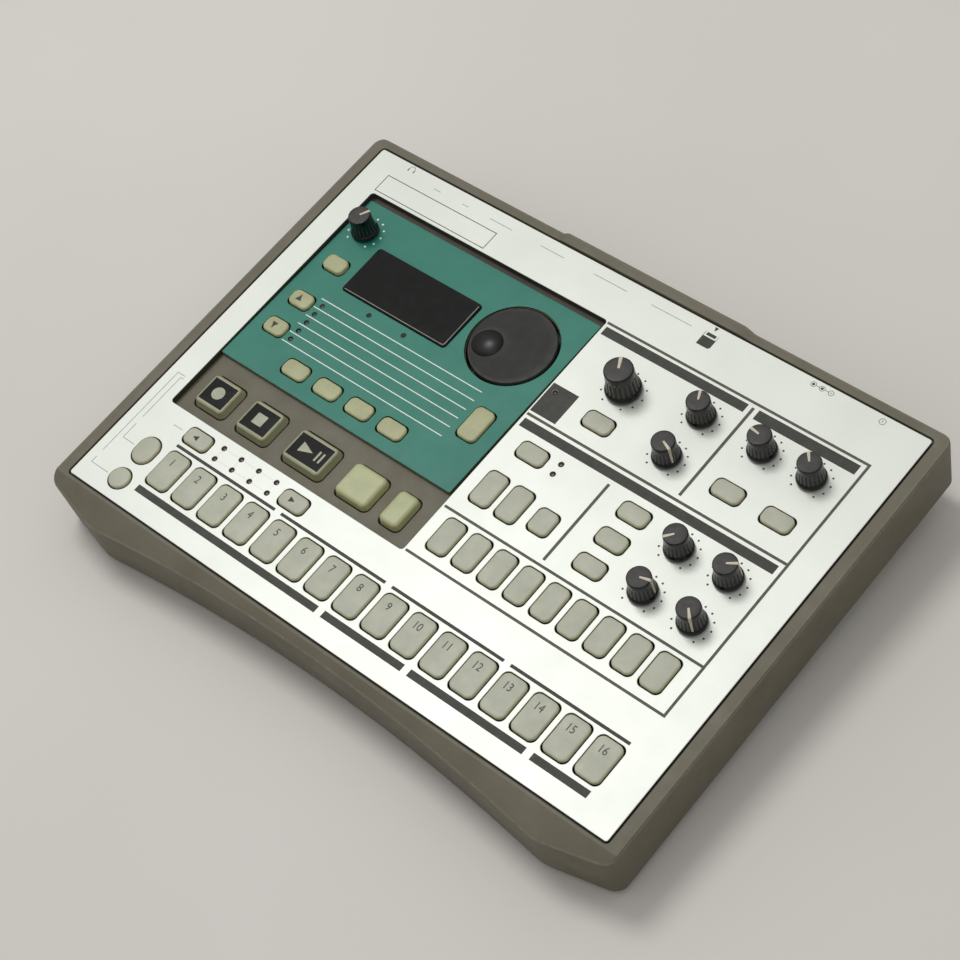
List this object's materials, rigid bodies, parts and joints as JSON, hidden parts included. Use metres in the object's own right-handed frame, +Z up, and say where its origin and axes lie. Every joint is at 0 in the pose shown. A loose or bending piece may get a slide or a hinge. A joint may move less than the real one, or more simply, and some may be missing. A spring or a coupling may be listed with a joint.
{
  "type": "drum machine",
  "caption": "Table-top drum machine: wedge-shaped dark case, silver faceplate, recessed green display panel with a data dial, rotary knobs, transport keys and a row of step keys.",
  "frame": {"origin": "on the floor plane under the middle of the bounding box", "axes": "+X to the user's right along the longest side, +Y away from the user towards the sockets, +Z up; the faceplate slopes up to the back"},
  "size_m": [0.3, 0.2228, 0.054],
  "materials": {
    "case_top": "fine textured dark warm grey",
    "case_bottom": "fine textured darker grey",
    "faceplate": "satin silver",
    "display_panel": "satin green",
    "lens": "smoked gloss",
    "module": "matte",
    "board": "satin green laminate",
    "metal": "plated",
    "black_plastic": "matte black",
    "lamp": "clear dark red",
    "cable": "pale ribbon",
    "rubber": "matte",
    "dial": "fine textured charcoal",
    "knob": "satin black",
    "key": "translucent grey-green, satin",
    "green_key": "translucent cream, satin",
    "transport_key": "translucent pale yellow-green, satin"
  },
  "bodies": {
    "housing": {"bottom_case": "case_bottom", "top_case": "case_top", "faceplate": "faceplate", "display_panel": "display_panel", "display_lens": "lens", "display_module": "module", "panel_board": "board", "main_board": "board", "control_bodies": "metal", "key_switches": "black_plastic", "panel_lamps": "lamp", "audio_jacks": "black_plastic", "midi_sockets": "black_plastic", "dc_inlet": "black_plastic", "card_socket": "metal", "board_cable": "cable", "feet": "rubber", "screws": "metal"},
    "data_dial": {"data_dial": "dial"},
    "knob_type": {"knob_type": "knob"},
    "knob_volume": {"knob_volume": "knob"},
    "knob_edit_1": {"knob_edit_1": "knob"},
    "knob_edit_2": {"knob_edit_2": "knob"},
    "knob_depth": {"knob_depth": "knob"},
    "knob_time": {"knob_time": "knob"},
    "knob_pitch": {"knob_pitch": "knob"},
    "knob_filter": {"knob_filter": "knob"},
    "knob_level": {"knob_level": "knob"},
    "knob_pan": {"knob_pan": "knob"},
    "input_level_knob": {"input_level_knob": "knob"},
    "input_switch": {"input_switch": "black_plastic"},
    "power_button": {"power_button": "black_plastic"},
    "record_key": {"record_key": "transport_key"},
    "stop_key": {"stop_key": "transport_key"},
    "play_key": {"play_key": "transport_key"},
    "tap_key": {"tap_key": "transport_key"},
    "hold_key": {"hold_key": "transport_key"},
    "column_keys": {"column_keys": "green_key"},
    "mode_keys": {"mode_keys": "green_key"},
    "write_key": {"write_key": "green_key"},
    "select_keys": {"select_keys": "key"},
    "part_keys": {"part_keys": "key"},
    "slice_keys": {"slice_keys": "key"},
    "function_keys": {"function_keys": "key"},
    "step_key_1": {"step_key_1": "key"},
    "step_key_2": {"step_key_2": "key"},
    "step_key_3": {"step_key_3": "key"},
    "step_key_4": {"step_key_4": "key"},
    "step_key_5": {"step_key_5": "key"},
    "step_key_6": {"step_key_6": "key"},
    "step_key_7": {"step_key_7": "key"},
    "step_key_8": {"step_key_8": "key"},
    "step_key_9": {"step_key_9": "key"},
    "step_key_10": {"step_key_10": "key"},
    "step_key_11": {"step_key_11": "key"},
    "step_key_12": {"step_key_12": "key"},
    "step_key_13": {"step_key_13": "key"},
    "step_key_14": {"step_key_14": "key"},
    "step_key_15": {"step_key_15": "key"},
    "step_key_16": {"step_key_16": "key"}
  },
  "joints": [
    {"name": "data_dial_turn", "type": "hinge", "parent": "housing", "child": "data_dial", "pos_m": [-0.02605, 0.05134, 0.03703], "axis": [0, -0.0523, 0.9986], "continuous": true},
    {"name": "knob_type_turn", "type": "hinge", "parent": "housing", "child": "knob_type", "pos_m": [0.02815, 0.05731, 0.03964], "axis": [0, -0.0523, 0.9986], "range_deg": [-178, 122]},
    {"name": "knob_volume_turn", "type": "hinge", "parent": "housing", "child": "knob_volume", "pos_m": [-0.12055, 0.0637, 0.03998], "axis": [0, -0.0523, 0.9986], "range_deg": [-109, 171]},
    {"name": "knob_edit_1_turn", "type": "hinge", "parent": "housing", "child": "knob_edit_1", "pos_m": [0.06225, 0.0636, 0.03997], "axis": [0, -0.0523, 0.9986], "range_deg": [-165, 115]},
    {"name": "knob_edit_2_turn", "type": "hinge", "parent": "housing", "child": "knob_edit_2", "pos_m": [0.06225, 0.04143, 0.03881], "axis": [0, -0.0523, 0.9986], "range_deg": [-27, 253]},
    {"name": "knob_depth_turn", "type": "hinge", "parent": "housing", "child": "knob_depth", "pos_m": [0.09175, 0.0635, 0.03997], "axis": [0, -0.0523, 0.9986], "range_deg": [-220, 60]},
    {"name": "knob_time_turn", "type": "hinge", "parent": "housing", "child": "knob_time", "pos_m": [0.11505, 0.0635, 0.03997], "axis": [0, -0.0523, 0.9986], "range_deg": [-180, 100]},
    {"name": "knob_pitch_turn", "type": "hinge", "parent": "housing", "child": "knob_pitch", "pos_m": [0.09175, 0.01097, 0.03721], "axis": [0, -0.0523, 0.9986], "range_deg": [-278, 2]},
    {"name": "knob_filter_turn", "type": "hinge", "parent": "housing", "child": "knob_filter", "pos_m": [0.11505, 0.01097, 0.03721], "axis": [0, -0.0523, 0.9986], "range_deg": [-83, 197]},
    {"name": "knob_level_turn", "type": "hinge", "parent": "housing", "child": "knob_level", "pos_m": [0.09175, -0.01129, 0.03605], "axis": [0, -0.0523, 0.9986], "range_deg": [-65, 215]},
    {"name": "knob_pan_turn", "type": "hinge", "parent": "housing", "child": "knob_pan", "pos_m": [0.11505, -0.01129, 0.03605], "axis": [0, -0.0523, 0.9986], "range_deg": [-2, 278]},
    {"name": "input_level_knob_turn", "type": "hinge", "parent": "housing", "child": "input_level_knob", "pos_m": [-0.05565, 0.108, 0.02778], "axis": [0, 0.9986, 0.0523], "range_deg": [-140, 140]},
    {"name": "input_switch_slide", "type": "slide", "parent": "housing", "child": "input_switch", "axis": [1, 0, 0], "range_m": [0, 0.003]},
    {"name": "power_button_press", "type": "slide", "parent": "housing", "child": "power_button", "axis": [0, -0.9986, -0.0523], "range_m": [0, 0.0015], "stiffness_N_per_m": 400, "springref_m": -0.0005},
    {"name": "record_key_press", "type": "slide", "parent": "housing", "child": "record_key", "axis": [0, 0.0523, -0.9986], "range_m": [0, 0.0008], "stiffness_N_per_m": 400, "springref_m": -0.0005},
    {"name": "stop_key_press", "type": "slide", "parent": "housing", "child": "stop_key", "axis": [0, 0.0523, -0.9986], "range_m": [0, 0.0008], "stiffness_N_per_m": 400, "springref_m": -0.0005},
    {"name": "play_key_press", "type": "slide", "parent": "housing", "child": "play_key", "axis": [0, 0.0523, -0.9986], "range_m": [0, 0.0008], "stiffness_N_per_m": 400, "springref_m": -0.0005},
    {"name": "tap_key_press", "type": "slide", "parent": "housing", "child": "tap_key", "axis": [0, 0.0523, -0.9986], "range_m": [0, 0.0008], "stiffness_N_per_m": 400, "springref_m": -0.0005},
    {"name": "hold_key_press", "type": "slide", "parent": "housing", "child": "hold_key", "axis": [0, 0.0523, -0.9986], "range_m": [0, 0.0008], "stiffness_N_per_m": 400, "springref_m": -0.0005},
    {"name": "column_keys_press", "type": "slide", "parent": "housing", "child": "column_keys", "axis": [0, 0.0523, -0.9986], "range_m": [0, 0.0008], "stiffness_N_per_m": 400, "springref_m": -0.0005},
    {"name": "mode_keys_press", "type": "slide", "parent": "housing", "child": "mode_keys", "axis": [0, 0.0523, -0.9986], "range_m": [0, 0.0008], "stiffness_N_per_m": 400, "springref_m": -0.0005},
    {"name": "write_key_press", "type": "slide", "parent": "housing", "child": "write_key", "axis": [0, 0.0523, -0.9986], "range_m": [0, 0.0008], "stiffness_N_per_m": 400, "springref_m": -0.0005},
    {"name": "select_keys_press", "type": "slide", "parent": "housing", "child": "select_keys", "axis": [0, 0.0523, -0.9986], "range_m": [0, 0.0008], "stiffness_N_per_m": 400, "springref_m": -0.0005},
    {"name": "part_keys_press", "type": "slide", "parent": "housing", "child": "part_keys", "axis": [0, 0.0523, -0.9986], "range_m": [0, 0.0008], "stiffness_N_per_m": 400, "springref_m": -0.0005},
    {"name": "slice_keys_press", "type": "slide", "parent": "housing", "child": "slice_keys", "axis": [0, 0.0523, -0.9986], "range_m": [0, 0.0008], "stiffness_N_per_m": 400, "springref_m": -0.0005},
    {"name": "function_keys_press", "type": "slide", "parent": "housing", "child": "function_keys", "axis": [0, 0.0523, -0.9986], "range_m": [0, 0.0008], "stiffness_N_per_m": 400, "springref_m": -0.0005},
    {"name": "step_key_1_press", "type": "slide", "parent": "housing", "child": "step_key_1", "axis": [0, 0.0523, -0.9986], "range_m": [0, 0.0008], "stiffness_N_per_m": 400, "springref_m": -0.0005},
    {"name": "step_key_2_press", "type": "slide", "parent": "housing", "child": "step_key_2", "axis": [0, 0.0523, -0.9986], "range_m": [0, 0.0008], "stiffness_N_per_m": 400, "springref_m": -0.0005},
    {"name": "step_key_3_press", "type": "slide", "parent": "housing", "child": "step_key_3", "axis": [0, 0.0523, -0.9986], "range_m": [0, 0.0008], "stiffness_N_per_m": 400, "springref_m": -0.0005},
    {"name": "step_key_4_press", "type": "slide", "parent": "housing", "child": "step_key_4", "axis": [0, 0.0523, -0.9986], "range_m": [0, 0.0008], "stiffness_N_per_m": 400, "springref_m": -0.0005},
    {"name": "step_key_5_press", "type": "slide", "parent": "housing", "child": "step_key_5", "axis": [0, 0.0523, -0.9986], "range_m": [0, 0.0008], "stiffness_N_per_m": 400, "springref_m": -0.0005},
    {"name": "step_key_6_press", "type": "slide", "parent": "housing", "child": "step_key_6", "axis": [0, 0.0523, -0.9986], "range_m": [0, 0.0008], "stiffness_N_per_m": 400, "springref_m": -0.0005},
    {"name": "step_key_7_press", "type": "slide", "parent": "housing", "child": "step_key_7", "axis": [0, 0.0523, -0.9986], "range_m": [0, 0.0008], "stiffness_N_per_m": 400, "springref_m": -0.0005},
    {"name": "step_key_8_press", "type": "slide", "parent": "housing", "child": "step_key_8", "axis": [0, 0.0523, -0.9986], "range_m": [0, 0.0008], "stiffness_N_per_m": 400, "springref_m": -0.0005},
    {"name": "step_key_9_press", "type": "slide", "parent": "housing", "child": "step_key_9", "axis": [0, 0.0523, -0.9986], "range_m": [0, 0.0008], "stiffness_N_per_m": 400, "springref_m": -0.0005},
    {"name": "step_key_10_press", "type": "slide", "parent": "housing", "child": "step_key_10", "axis": [0, 0.0523, -0.9986], "range_m": [0, 0.0008], "stiffness_N_per_m": 400, "springref_m": -0.0005},
    {"name": "step_key_11_press", "type": "slide", "parent": "housing", "child": "step_key_11", "axis": [0, 0.0523, -0.9986], "range_m": [0, 0.0008], "stiffness_N_per_m": 400, "springref_m": -0.0005},
    {"name": "step_key_12_press", "type": "slide", "parent": "housing", "child": "step_key_12", "axis": [0, 0.0523, -0.9986], "range_m": [0, 0.0008], "stiffness_N_per_m": 400, "springref_m": -0.0005},
    {"name": "step_key_13_press", "type": "slide", "parent": "housing", "child": "step_key_13", "axis": [0, 0.0523, -0.9986], "range_m": [0, 0.0008], "stiffness_N_per_m": 400, "springref_m": -0.0005},
    {"name": "step_key_14_press", "type": "slide", "parent": "housing", "child": "step_key_14", "axis": [0, 0.0523, -0.9986], "range_m": [0, 0.0008], "stiffness_N_per_m": 400, "springref_m": -0.0005},
    {"name": "step_key_15_press", "type": "slide", "parent": "housing", "child": "step_key_15", "axis": [0, 0.0523, -0.9986], "range_m": [0, 0.0008], "stiffness_N_per_m": 400, "springref_m": -0.0005},
    {"name": "step_key_16_press", "type": "slide", "parent": "housing", "child": "step_key_16", "axis": [0, 0.0523, -0.9986], "range_m": [0, 0.0008], "stiffness_N_per_m": 400, "springref_m": -0.0005}
  ]
}
